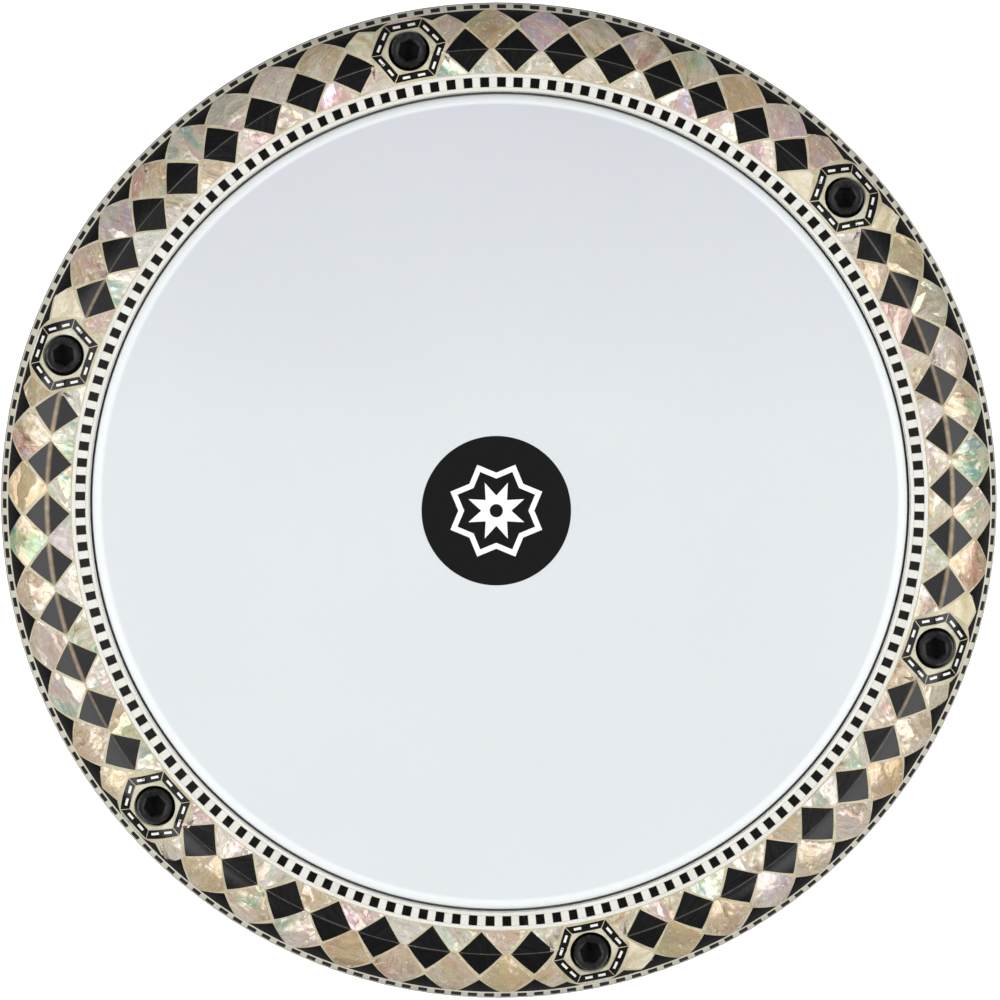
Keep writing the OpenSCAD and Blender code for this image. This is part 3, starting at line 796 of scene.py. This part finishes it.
def lattice(inlay, s0, s1, turn=0.0):
    """Rows of black diamonds, tip to tip, with pearl between them. They grow with the drum's radius."""
    profile = inlay.profile
    spread = np.concatenate([[0], np.cumsum(np.diff(profile.s) / profile.r[1:])])
    w0, w1 = np.interp([s0, s1], profile.s, spread)
    pitch = TAU / LATTICE
    rows = max(1, round((w1 - w0) / pitch))
    # The lengths at the rows' edges and middles
    marks = np.interp(np.linspace(w0, w1, 2 * rows + 1), spread, profile.s)
    for low, mid, high in zip(marks[0:-2:2], marks[1::2], marks[2::2]):
        for i in range(LATTICE):
            a = turn + i * pitch
            inlay.black.add([(a, low), (a + pitch / 2, mid), (a, high), (a - pitch / 2, mid)])
    for j in range(0, 2 * rows + 1, 2):
        for i in range(LATTICE):
            a = turn + (i + 0.5) * pitch
            low = [(a, marks[j - 1])] if j > 0 else []
            high = [(a, marks[j + 1])] if j < 2 * rows else []
            inlay.pearl.add([(a - pitch / 2, marks[j]), *low, (a + pitch / 2, marks[j]), *high])


def triangles(inlay, s0, s1, count):
    """A row of black triangles that stand on the lower edge, with pearl ones hanging between them."""
    pitch = TAU / count
    for a in np.arange(count) * pitch:
        inlay.black.add([(a - pitch / 2, s0), (a + pitch / 2, s0), (a, s1)])
        inlay.pearl.add([(a, s1), (a + pitch / 2, s0), (a + pitch, s1)])


# ---- the rim's inlay
DIAMONDS = 8
# How each sector's row of diamonds was laid by hand: its shift and its pitch, in degrees
ROWS = ((0.3, 6.47), (0.7, 6.34), (-0.25, 6.33), (-0.3, 6.43), (-0.2, 6.50), (0.1, 6.46))
CHECKERS = 157
R_LINE_OUT = 116.35 * MM
R_SQUARES_OUT = 115.35 * MM
R_SQUARES_IN = 112.6 * MM
R_TILES_IN = 116.45 * MM
R_BLACK_IN = 116.75 * MM
R_BLACK_OUT = 128.9 * MM
R_CORNER = 129.6 * MM
R_APEX = 130.1 * MM
R_FIELD_OUT = 133.65 * MM
HALF_BLACK = math.radians(2.88)
HALF_EDGE_BLACK = math.radians(2.55)
# Each half diamond reaches past the crest before its joint is taken off, so that the two nearly touch
PAST_CREST = 0.05 * MM
HALVES_JOINT = 0.14 * MM
CUT_ERROR = 0.07 * MM
TIP_ERROR = 0.2 * MM
# The outer stringing: where its lines and its dashes end, as tilts of the round flank in degrees
EDGE_LINE_IN = (66.4, 63.9)
EDGE_DASHES = (76.4, 66.6)
EDGE_LINE_OUT = (81.6, 76.6)
BED_TILT = 83.5
DASHES = 187
DASH_SHARE = 0.575
# A rosette's outline beside its screw in millimetres, and its inner outline as a share of that
HEX_CENTRE_R = 125.0 * MM
HEX_PLAN = np.array([(-5.6, -8.2), (5.6, -8.2), (10.5, 0.3), (5.3, 7.85), (-5.3, 7.85), (-10.5, 0.3)]) * MM
HEX_HOLE = 0.725
MITRE_JOINT = 0.17 * MM
DASH = (2.05 * MM, 0.66 * MM)
DASH_AT = 0.22
DASH_PROUD = 0.05 * MM
DASH_DEPTH = 0.4 * MM
DASH_BEVEL = 0.02 * MM


def rim_point(screw, turn, r):
    """A place on the rim: a turn from a screw, and a radius in millimetres."""
    return screw * SECTOR + turn, RIM.at_r(r * MM)


def from_plan(spot, screw):
    """A place on the rim, from a plan beside its screw: x to the left, seen from the axis, y outwards."""
    x, y = spot
    r = math.hypot(HEX_CENTRE_R + y, x)
    return math.atan2(x, HEX_CENTRE_R + y) + screw * SECTOR, RIM.at_r(r)


def hand_cut(corners, error=CUT_ERROR):
    """The corners, each a little off, as on a tile that is cut by hand."""
    return [(a + random.gauss(0, error) / CREST_R, s + random.gauss(0, error)) for a, s in corners]


def rim_diamonds(inlay):
    """Black diamonds in two halves that meet on the crest, with pearl and black tiles between them."""
    s_tip, s_out, s_tiles, s_corner, s_apex, s_edge = (
        RIM.at_r(r) for r in (R_BLACK_IN, R_BLACK_OUT, R_TILES_IN, R_CORNER, R_APEX, R_FIELD_OUT))
    for screw, (shift, pitch) in enumerate(ROWS):
        middle = (screw + 0.5) * SECTOR + math.radians(shift)
        pitch = math.radians(pitch)
        half, gap, edge_gap = pitch / 2, pitch / 2 - HALF_BLACK, pitch / 2 - HALF_EDGE_BLACK
        for k in range(DIAMONDS):
            a = middle + (k - (DIAMONDS - 1) / 2) * pitch + random.gauss(0, 0.0012)
            turn, seed = random.uniform(0, TAU), random.random()
            # Painted highlight: the crest is painted paler at the drum's left and right, where the softboxes
            # stand, and only a little elsewhere
            painted_sheen = max(0.3, 4.0 * abs(math.cos(a - PHI)) - 2.9) * random.uniform(0.7, 1.05)
            tips = hand_cut([(a, s_tip), (a, s_out)], TIP_ERROR)
            for base, (_, tip) in zip((CREST_S - PAST_CREST, CREST_S + PAST_CREST), tips):
                inlay.black.add([(a - HALF_BLACK, base), (a + HALF_BLACK, base), (a, tip)],
                                joint=HALVES_JOINT, bevel=0.1 * MM, turn=turn, seed=seed, tone=painted_sheen)
            b = a + random.gauss(0, 0.0015)
            inlay.black.add([(b, s_apex), (b - HALF_EDGE_BLACK, s_edge), (b + HALF_EDGE_BLACK, s_edge)],
                            joint=FINE_JOINT)
        kite = [(-gap, CREST_S), (gap, CREST_S), (half, s_corner), (edge_gap, s_edge), (-edge_gap, s_edge),
                (-half, s_corner)]
        inner = [(gap, CREST_S), (-gap, CREST_S), (-half, s_tiles), (half, s_tiles)]
        for k in range(DIAMONDS - 1):
            a = middle + (k - (DIAMONDS - 2) / 2) * pitch
            for shape, tones in ((kite, (0.6, 1.1)), (inner, (0.0, 0.35))):
                inlay.pearl.add(hand_cut([(a + d, s) for d, s in shape]), tone=random.uniform(*tones))


def rosette(inlay, dashes, screw):
    """Six mitred black strips with two white dashes each, and the odd-shaped tiles that fit round them."""
    outer, inner = HEX_PLAN, HEX_PLAN * HEX_HOLE
    for i in range(6):
        j = (i + 1) % 6
        corners = [outer[i], outer[j], inner[j], inner[i]]
        inlay.black.add([from_plan(c, screw) for c in corners], joint=MITRE_JOINT)
        length = np.linalg.norm(outer[j] - outer[i])
        along = (outer[j] - outer[i]) / length
        across = np.array([-along[1], along[0]])
        offset = DASH_AT * length * (1 + HEX_HOLE) / 2
        for side in (-1, 1):
            centre = sum(corners) / 4 + side * offset * along * (1 + random.gauss(0, 0.06))
            box = [centre + u * along * DASH[0] / 2 + v * across * DASH[1] / 2
                   for u, v in ((-1, -1), (1, -1), (1, 1), (-1, 1))]
            dashes.add([from_plan(c, screw) for c in box], top=DASH_PROUD, bottom=-DASH_DEPTH, joint=0,
                       bevel=DASH_BEVEL)
    for side in (-1, 1):
        shift, pitch = ROWS[screw if side > 0 else screw - 1]
        first = SECTOR / 2 + side * math.radians(shift) - math.radians(pitch) * (DIAMONDS - 1) / 2

        def at(start, degrees, r):
            """A place some degrees past a start, which is the nearest diamond's middle or, at 0, the screw."""
            return rim_point(screw, side * (start + math.radians(degrees)), r)

        inlay.pearl.add([at(first, -2.95, 123.0), at(first, 0, 116.8), at(first, 0, 116.45),
                         at(0, 2.75, 116.45), at(0, 4.75, 123.2)], tone=random.choice((0.0, 0.3, 1.5)))
        inlay.pearl.add([at(first, -2.95, 123.0), at(first, 0, 129.6), at(first, -1.0, 133.65),
                         at(0, 3.6, 131.6), at(0, 4.9, 125.2)], tone=random.choice((0.5, 0.9, 1.5)))
        inlay.black.add([at(0, 3.4, 131.9), at(first, -1.15, 133.65), at(0, 1.6, 133.65), at(0, 2.4, 133.0)])
    wedge = ((-1.55, 133.65), (1.55, 133.65), (2.3, 133.0), (-2.3, 133.0))
    inlay.pearl.add([rim_point(screw, math.radians(degrees), r) for degrees, r in wedge])


def rosette_field(inlay, screw):
    """The cream plate between the strips and the recess."""
    count, rows = 96, 4
    edge_h = -0.03 * MM
    inner = HEX_PLAN * HEX_HOLE
    sides = np.roll(inner, -1, 0) - inner
    outward = np.stack([sides[:, 1], -sides[:, 0]], -1)
    turns = TAU * np.arange(count) / count
    ways = np.stack([np.cos(turns), np.sin(turns)], -1)
    # How far each way runs before it meets one of the sides that lie ahead of it
    ahead = np.maximum(ways @ outward.T, 1e-12)
    far = ((outward * inner).sum(1) / ahead).min(1)
    far = np.maximum(far - 0.1 * MM, RECESS_R + 0.12 * MM)
    layers = [(0, -TILE_T), (0, edge_h), (0.04, 0.0), *((k / rows, 0.0) for k in range(1, rows)), (0.97, 0.0),
              (1, edge_h), (1, -TILE_T)]
    points = []
    for t, height in layers:
        plan = ways * (RECESS_R + (far - RECESS_R) * t)[:, None]
        angle, s = np.array([from_plan(spot, screw) for spot in plan]).T
        points.append(inlay.profile.place(angle, s, height))
    faces = loop_faces(len(layers), count, closed=True)
    inlay.cream.gather(np.concatenate(points), faces, 0.3 * random.random())


HOLE_SIDES = 96


def cut_holes(mesh, centres, radius, low, high):
    """A copy of the mesh with upright round holes cut through it."""
    points, faces = [], []
    for centre in centres:
        first = len(points)
        points += [(x, y, z) for z in (low, high) for x, y in loop_points(centre, radius, HOLE_SIDES)]
        ends = [range(HOLE_SIDES), range(HOLE_SIDES, 2 * HOLE_SIDES)]
        faces += [[first + v for v in face] for face in loop_faces(2, HOLE_SIDES) + ends]
    cutter, solid = add_object("cutter", mesh_from("cutter", points, faces)), add_object("uncut", mesh)
    cut = solid.modifiers.new("holes", "BOOLEAN")
    cut.operation, cut.solver, cut.object = "DIFFERENCE", "EXACT", cutter
    result = evaluated_mesh(solid)
    for obj in (cutter, solid):
        bpy.data.objects.remove(obj)
    return result


def make_rim_inlay():
    inlay = Inlay(RIM, 1.0 * MM, 0.004)
    dashes = Tiles(RIM, 1.0 * MM)
    rim_diamonds(inlay)
    for screw in range(SCREWS):
        rosette(inlay, dashes, screw)
        rosette_field(inlay, screw)
    border = Inlay(RIM, 1.5 * MM, 0.002)
    ends = (R_LINE_OUT, R_SQUARES_OUT, R_SQUARES_IN, LIP_R)
    s_end, s_line, s_squares, s_inner = (RIM.at_r(r) for r in ends)
    line(border, s_end, s_line)
    checker(border, s_line, s_squares, CHECKERS)
    line(border, s_squares, s_inner)
    edge = Inlay(RIM, 1.5 * MM, 0.002)
    line(edge, *map(rim_s, EDGE_LINE_IN))
    checker(edge, *map(rim_s, EDGE_DASHES), DASHES, share=DASH_SHARE)
    line(edge, *map(rim_s, EDGE_LINE_OUT))
    inlay.black.build("rim_black_inlay", BLACK, "rim", "black_inlay", ("rim_black_tiles", "rosette_strips"))
    inlay.pearl.build("rim_pearl_inlay", PEARL, "rim", "pearl", ("rim_pearl_tiles",))
    inlay.cream.build("rosette_plates", PLATE, "rim", "cream_inlay", ("rosette_fields",))
    dashes.build("rosette_dashes", DASH_WHITE, "rim", "cream_inlay")
    border.black.build("checker_black_squares", BLACK_SQUARE, "rim", "black_inlay")
    border.cream.build("checker_cream_strips", CREAM, "rim", "cream_inlay", ("rim_checker_ring",))
    edge.black.build("edge_black_squares", BLACK_SQUARE, "rim", "black_inlay")
    edge.cream.build("edge_cream_strips", OLD_CREAM, "rim", "cream_inlay", ("rim_edge_stringing",))
    bed = resin_bed("rim_resin_bed", RIM, rim_s(BED_TILT), RIM.at_r(LIP_R), RESIN_SUNK, 360, 1 * MM)
    centres = [(SCREW_R * math.cos(i * SECTOR), SCREW_R * math.sin(i * SECTOR)) for i in range(SCREWS)]
    bed = cut_holes(bed, centres, RECESS_R, TOP_Z - 30 * MM, TOP_Z + 10 * MM)
    finish_piece("rim_resin_bed", bed, RESIN, "rim", ("rim_resin",))


# ---- the shell's inlay
RING_SQUARES = {"foot": 152, "neck": 72, "wall": 156, "flange": 187}
END_MARGIN = 0.3 * MM
FLANGE_MARGIN = 0.2 * MM
FLANGE_TRIANGLES = 120


def make_shell_inlay():
    inlay = Inlay(SHELL, 3.0 * MM, 0.003)
    rings = Inlay(SHELL, 3.0 * MM, 0.002)
    s_neck0, s_neck1 = (SHELL.at_z(z) for z in NECK_BAND)
    s_wall = SHELL.at_z(WALL_TOP_Z) - RING_H
    lattice(inlay, ring(rings, END_MARGIN, RING_SQUARES["foot"]), s_neck0)
    low = ring(rings, s_neck0, RING_SQUARES["neck"])
    high = s_neck1 - RING_H
    lattice(inlay, low, high)
    ring(rings, high, RING_SQUARES["neck"])
    lattice(inlay, s_neck1, s_wall)
    top = ring(rings, s_wall, RING_SQUARES["wall"])
    end = SHELL.length - END_MARGIN
    lattice(inlay, top, end - LINE_W, turn=math.pi / LATTICE)
    line(rings, end - LINE_W, end)
    inlay.black.build("shell_black_inlay", BLACK, "shell", "black_inlay")
    inlay.pearl.build("shell_pearl_inlay", PEARL, "shell", "pearl", ("bowl_inlay", "foot_inlay"))
    rings.black.build("shell_ring_squares", BLACK_SQUARE, "shell", "black_inlay")
    rings.cream.build("shell_ring_strips", CREAM, "shell", "cream_inlay", ("neck_inlay",))
    bed = resin_bed("shell_resin_bed", SHELL, 0, SHELL.length, SHELL_RESIN_SUNK, 240, 2 * MM, below=4)
    finish_piece("shell_resin_bed", bed, RESIN, "shell")
    edge = Inlay(FLANGE, 2.0 * MM, 0.002)
    low = ring(edge, FLANGE_MARGIN, RING_SQUARES["flange"])
    high = FLANGE.length - FLANGE_MARGIN - RING_H
    triangles(edge, low, high, FLANGE_TRIANGLES)
    ring(edge, high, RING_SQUARES["flange"])
    edge.black.build("flange_black_inlay", BLACK, "shell", "black_inlay")
    edge.pearl.build("flange_pearl_inlay", PEARL, "shell", "pearl")
    edge.cream.build("flange_cream_inlay", CREAM, "shell", "cream_inlay", ("flange_stringing",))
    bed = resin_bed("flange_resin_bed", FLANGE, 0, FLANGE.length, RESIN_SUNK, 360, 2 * MM)
    finish_piece("flange_resin_bed", bed, RESIN, "shell")


# ---- head
# In millimetres: radii of the film's rings, above and below, and how its skirt runs out and down
FILM_RINGS = (0, 4, 12, 24, 40, 58, 76, 92, 102, 106)
UNDER_RINGS = (102, 76, 40, 12, 0)
SKIRT = ((0, 0), (0.5, -1.2), (1.3, -2.4), (2.45, -4.3), (2.45, -6.0))


def make_film():
    centre = (EDGE_R - EDGE_ROUND, FILM_Z - FILM_T - EDGE_ROUND)
    bend_z = FILM_Z - SKIRT_STRAIGHT
    end_z = heights("hoop_resin")[0] + 1 * MM
    outer = [(EDGE_R + FILM_T + out * MM, bend_z + up * MM) for out, up in SKIRT]
    outer.append((outer[-1][0], end_z))
    outline = [(r * MM, FILM_Z) for r in FILM_RINGS]
    outline += arc_points(centre, EDGE_ROUND + FILM_T, math.pi / 2, 0, 14)
    outline += outer + [(r - FILM_T, z) for r, z in reversed(outer)]
    outline += arc_points(centre, EDGE_ROUND, 0, math.pi / 2, 14)
    outline += [(r * MM, FILM_Z - FILM_T) for r in UNDER_RINGS]
    mesh = lathe("film_head", outline, segments=360, closed=False)
    obj = finish_piece("film_head", mesh, FILM, None, ("head_film",), sharp=50)
    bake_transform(obj)


def print_layer(name, loops, z, mat):
    """A thin layer of ink from closed loops of points; loops after the first are its holes."""
    curve = bpy.data.curves.new(name, "CURVE")
    curve.dimensions = "2D"
    curve.fill_mode = "BOTH"
    curve.extrude = INK_T / 2
    for loop in loops:
        spline = curve.splines.new("POLY")
        spline.points.add(len(loop) - 1)
        for point, (x, y) in zip(spline.points, loop):
            point.co = (x, y, 0, 1)
        spline.use_cyclic_u = True
    source = add_object(name + "_curve", curve)
    mesh = evaluated_mesh(source)
    bpy.data.objects.remove(source)
    bm = bmesh.new()
    bm.from_mesh(mesh)
    bmesh.ops.remove_doubles(bm, verts=bm.verts, dist=1e-7)
    bmesh.ops.translate(bm, verts=bm.verts, vec=(0, 0, z + INK_T / 2))
    bmesh.ops.recalc_face_normals(bm, faces=bm.faces)
    bm.to_mesh(mesh)
    bm.free()
    finish_piece(name, mesh, mat, "shell")


def loop_points(centre, radius, count, dent=1.0, turn=0.0):
    """A loop of points round a centre, every second one nearer by the factor dent."""
    loop = []
    for i in range(count):
        r = radius * dent if i % 2 else radius
        a = turn + TAU * i / count
        loop.append((centre[0] + r * math.cos(a), centre[1] + r * math.sin(a)))
    return loop


def make_print():
    """The black printed disc, with an eight-pointed star in white."""
    centre = RIGHT * (-1.0 * MM) + UP * (-2.4 * MM)
    turn = PHI + math.radians(22.5)
    tips = 8
    outline = [loop_points(centre, r * MM, 2 * tips, 0.765, turn) for r in (13.5, 11.4)]
    star = loop_points(centre, 8.2 * MM, 2 * tips, 0.5, turn)
    print_layer("head_print", [loop_points(centre, 20.3 * MM, 160)], FILM_Z, INK)
    print_layer("print_star_line", outline, FILM_Z + INK_T, WHITE_INK)
    print_layer("print_star", [star, loop_points(centre, 1.8 * MM, 48)], FILM_Z + INK_T, WHITE_INK)


# ---- screws
SCREW_SIDES = 144
HEAD_H = 6 * MM
SHANK_R = 3 * MM
TIP_CHAMFER = 0.75 * MM
THREAD_PITCH = 1 * MM
THREAD_DEPTH = 0.55 * MM
THREAD_STEPS = 6
PLAIN_SHANK = 10 * MM
TEETH = 36
TOOTH_DEPTH = 0.13 * MM
SOCKET_FLAT = 2.5 * MM


def make_screw(index):
    """A socket-head cap screw: knurled head, chamfered hexagon socket and a real helical thread."""
    node = f"tuning_screw_{index + 1}"
    low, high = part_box(node)
    centre = (low + high) / 2
    turns = TAU * np.arange(SCREW_SIDES) / SCREW_SIDES
    spin = random.uniform(0, TAU)
    rings = [(SHANK_R - TIP_CHAMFER, low.z)]
    steps = round((high.z - HEAD_H - low.z - PLAIN_SHANK) / THREAD_PITCH * THREAD_STEPS)
    for k in range(1, steps):
        up = 0.3 * MM + k * THREAD_PITCH / THREAD_STEPS
        phase = ((low.z + up) / THREAD_PITCH - turns / TAU) % 1
        cut = THREAD_DEPTH * (1 - np.abs(2 * phase - 1)) * min(1, (steps - k) / THREAD_STEPS)
        rings.append((np.minimum(SHANK_R - cut, SHANK_R - TIP_CHAMFER + up), low.z + up))
    knurl = HEAD_R - TOOTH_DEPTH * np.abs(np.sin(TEETH * turns / 2))
    hexagon = SOCKET_FLAT / np.cos(turns % (math.pi / 3) - math.pi / 6)
    # The shank's end, the head and its socket: a radius, the millimetres added to it, and a depth in them
    head = ((SHANK_R, 0, 15.5), (SHANK_R, 0, 6.3), (SHANK_R, 0.25, 6), (HEAD_R, -0.35, 6), (knurl, 0, 5.7),
            (knurl, 0, 3.5), (knurl, 0, 1), (HEAD_R, -0.05, 0.85), (HEAD_R, -0.1, 0.6), (HEAD_R, -0.28, 0.22),
            (HEAD_R, -0.6, 0), (SHANK_R, 0.35, 0), (SHANK_R, 0.1, 0.1), (hexagon, 0.05, 0.45),
            (hexagon, 0, 0.6), (hexagon, 0, 3), (SOCKET_FLAT, -0.2, 3.05), (SOCKET_FLAT, -2.1, 4.1))
    rings += [(radius + more * MM, high.z - depth * MM) for radius, more, depth in head]
    points = []
    for radius, z in rings:
        x, y = centre.x + radius * np.cos(turns + spin), centre.y + radius * np.sin(turns + spin)
        points += zip(x, y, [z] * SCREW_SIDES)
    faces = loop_faces(len(rings), SCREW_SIDES)
    faces += [tuple(range(SCREW_SIDES)), tuple(range(len(points) - SCREW_SIDES, len(points)))]
    mesh = mesh_from(node + "_detail", points, faces)
    finish_piece(node + "_detail", mesh, BLACK_STEEL, f"screw_{index + 1}", (node,), sharp=25)


# ---- the CAD nodes that stay
def paint_cad():
    finishes = {"bowl_shell": CAST, "foot_shell": CAST, "counter_rim": RIM_CAST, "flesh_hoop": HOOP,
                "hoop_resin": RESIN, "screw_washers": BLACK_STEEL, "thread_inserts": ZINC}
    for node, mat in finishes.items():
        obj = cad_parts[node]
        for slot in obj.material_slots:
            slot.material = mat
        if not obj.material_slots:
            obj.data.materials.append(mat)


# ---- stage
FLOOR_HALF = 3.0
FLOOR_DROP = 0.3 * MM
GLOW = 2.1
LIGHT_DISTANCE = 1.4
# Each side's softboxes: name, tilt from upright in degrees, width, and where its lower and upper ends are
SOFTBOXES = (("high", 27, 0.62, -0.3, 0.4), ("low", 58, 1.1, -1.5, 0.55))
CAMERA_DISTANCE = 6.0
OBJECT_SHARE = 0.9965
SENSOR = 36.0


def stand(obj, axes, place):
    """Gives an object its x, y and z axes and its place."""
    rows = [[*(axis[i] for axis in axes), place[i]] for i in range(3)]
    obj.matrix_world = Matrix(rows + [[0, 0, 0, 1]])


def soft_light(name, centre, target, slide, size):
    """A softbox that faces the target, slid along its own length."""
    length, width = size
    data = bpy.data.lights.new(name, "AREA")
    data.shape = "RECTANGLE"
    data.size, data.size_y = length, width
    data.energy = GLOW * math.pi * length * width
    back = (centre - target).normalized()
    stand(add_object(name, data), (UP, back.cross(UP).normalized(), back), centre + slide)


def make_stage():
    """A white floor, two softboxes a side and a faint even light all round."""
    corners = [(x * FLOOR_HALF, y * FLOOR_HALF, -FLOOR_DROP) for x, y in ((-1, -1), (1, -1), (1, 1), (-1, 1))]
    floor = add_object("floor", mesh_from("floor", corners, [(0, 1, 2, 3)]))
    n = material("floor_paper", Roughness=0.9, Emission_Color=(1, 1, 1))
    rays = n.add("LightPath").outputs
    paper = n.ramp(n.noise(n.position(), 3, 2), (0.3, 0.88), (0.7, 0.92))
    floor.data.materials.append(n.set(Base_Color=n.mix(rays["Is Glossy Ray"], paper, (0.16, 0.16, 0.16)),
                                      Emission_Strength=n.times(rays["Is Camera Ray"], 0.72)))
    sky = Nodes(bpy.data.worlds.new("soft_room"), "Background")
    rays = sky.add("LightPath").outputs
    fill = sky.range(rays["Is Glossy Ray"], 0, 1, 0.4, 0.12)
    bright = sky.math("MAXIMUM", fill, rays["Is Camera Ray"])
    bpy.context.scene.world = sky.set(Color=(1, 1, 1), Strength=bright)
    target = Vector((0, 0, TOP_Z))
    for side, name in ((-1, "left"), (1, "right")):
        for height, tilt, width, low, high in SOFTBOXES:
            a = math.radians(tilt)
            centre = target + (RIGHT * (side * math.sin(a)) + Vector((0, 0, math.cos(a)))) * LIGHT_DISTANCE
            slide = UP * ((low + high) / 2)
            soft_light(f"softbox_{name}_{height}", centre, target, slide, (high - low, width))
    view = bpy.context.scene.view_settings
    view.view_transform = "Standard"
    view.look = "None"


def make_camera():
    """Straight above the head, a little to one side of the axis, as the photograph was taken."""
    data = bpy.data.cameras.new("camera")
    data.sensor_width = SENSOR
    data.lens = SENSOR * OBJECT_SHARE * CAMERA_DISTANCE / (2 * RIM_R)
    data.clip_end = 20
    silhouette_z = ROUND_CENTRE[1]
    aim = Vector((0, 0, silhouette_z)) + RIGHT * (0.27 * MM) + UP * (0.1 * MM)
    place = aim + (RIGHT * -0.0155 + UP * 0.0234 + Vector((0, 0, 1))) * CAMERA_DISTANCE
    forward = (aim - place).normalized()
    side = forward.cross(UP).normalized()
    obj = add_object("camera", data)
    stand(obj, (side, side.cross(forward), -forward), place)
    bpy.context.scene.camera = obj


make_camera()
make_rim_inlay()
make_shell_inlay()
make_film()
make_print()
for screw_index in range(SCREWS):
    make_screw(screw_index)
paint_cad()
make_stage()
